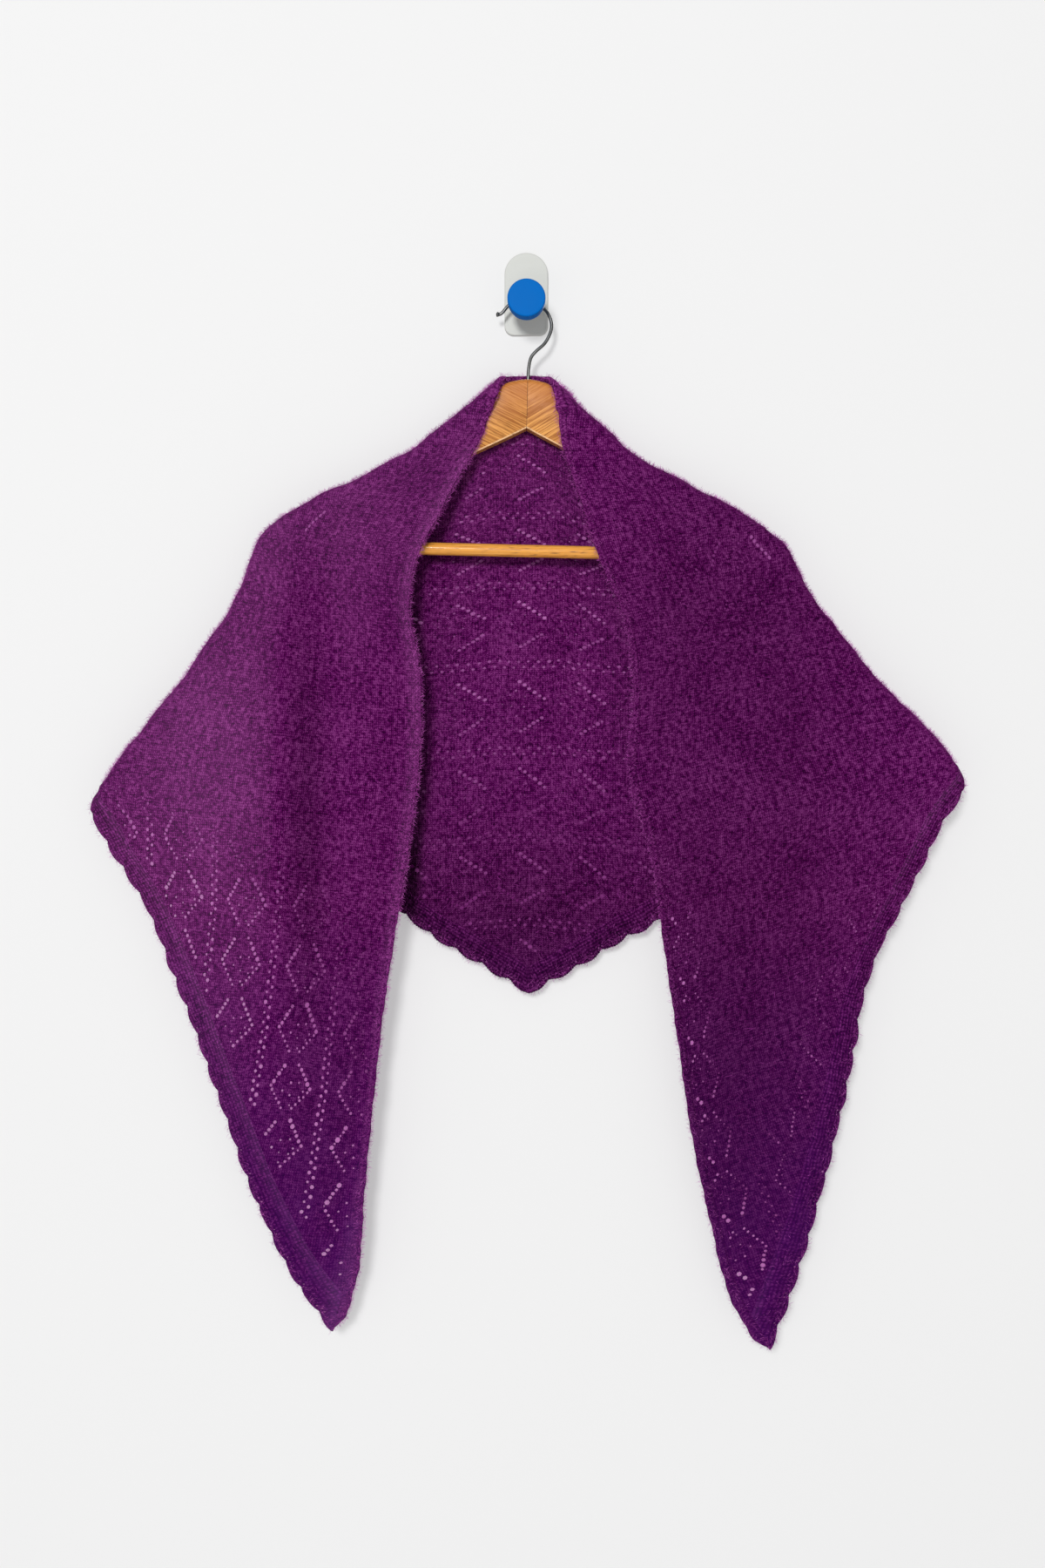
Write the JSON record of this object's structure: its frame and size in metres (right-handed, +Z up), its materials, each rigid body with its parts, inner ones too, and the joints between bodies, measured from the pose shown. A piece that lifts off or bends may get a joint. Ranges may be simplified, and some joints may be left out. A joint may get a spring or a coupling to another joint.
{
  "type": "lace shawl on a wooden hanger and a wall hook",
  "caption": "Triangular knitted lace shawl with scalloped edging, draped over a wooden suit hanger that hangs by its wire hook from a round-knobbed wall hook.",
  "frame": {"origin": "on the back of the wall plate, where it meets the wall, on the axis of the peg", "axes": "+X to the viewer's right along the wall, +Y into the wall, +Z up; everything hangs at negative Y"},
  "size_m": [0.7578, 0.0522, 0.9579],
  "materials": {
    "knit_cloth": "fuzzy marled mohair knit lace, plum purple",
    "knit_edging": "denser knitted edging and rolled selvedge of the same yarn",
    "honey_wood": "satin varnish over open straight grain",
    "bar_wood": "glossy varnish, straight grain",
    "nickel_wire": "nickel-plated wire, satin",
    "white_plastic": "moulded plastic, off-white",
    "peg_plastic": "moulded plastic, beige",
    "blue_plastic": "moulded plastic, bright blue"
  },
  "bodies": {
    "root": {"shawl_back": "knit_cloth", "shawl_front_left": "knit_cloth", "shawl_front_right": "knit_cloth", "edging_back": "knit_edging", "edging_front_left": "knit_edging", "edging_front_right": "knit_edging", "selvedge_left": "knit_edging", "selvedge_right": "knit_edging", "selvedge_neck": "knit_edging", "hanger_arm_left": "honey_wood", "hanger_arm_right": "honey_wood", "trouser_bar": "bar_wood", "hanger_hook": "nickel_wire", "wall_plate": "white_plastic", "wall_peg": "peg_plastic", "wall_knob": "blue_plastic"}
  },
  "joints": []
}
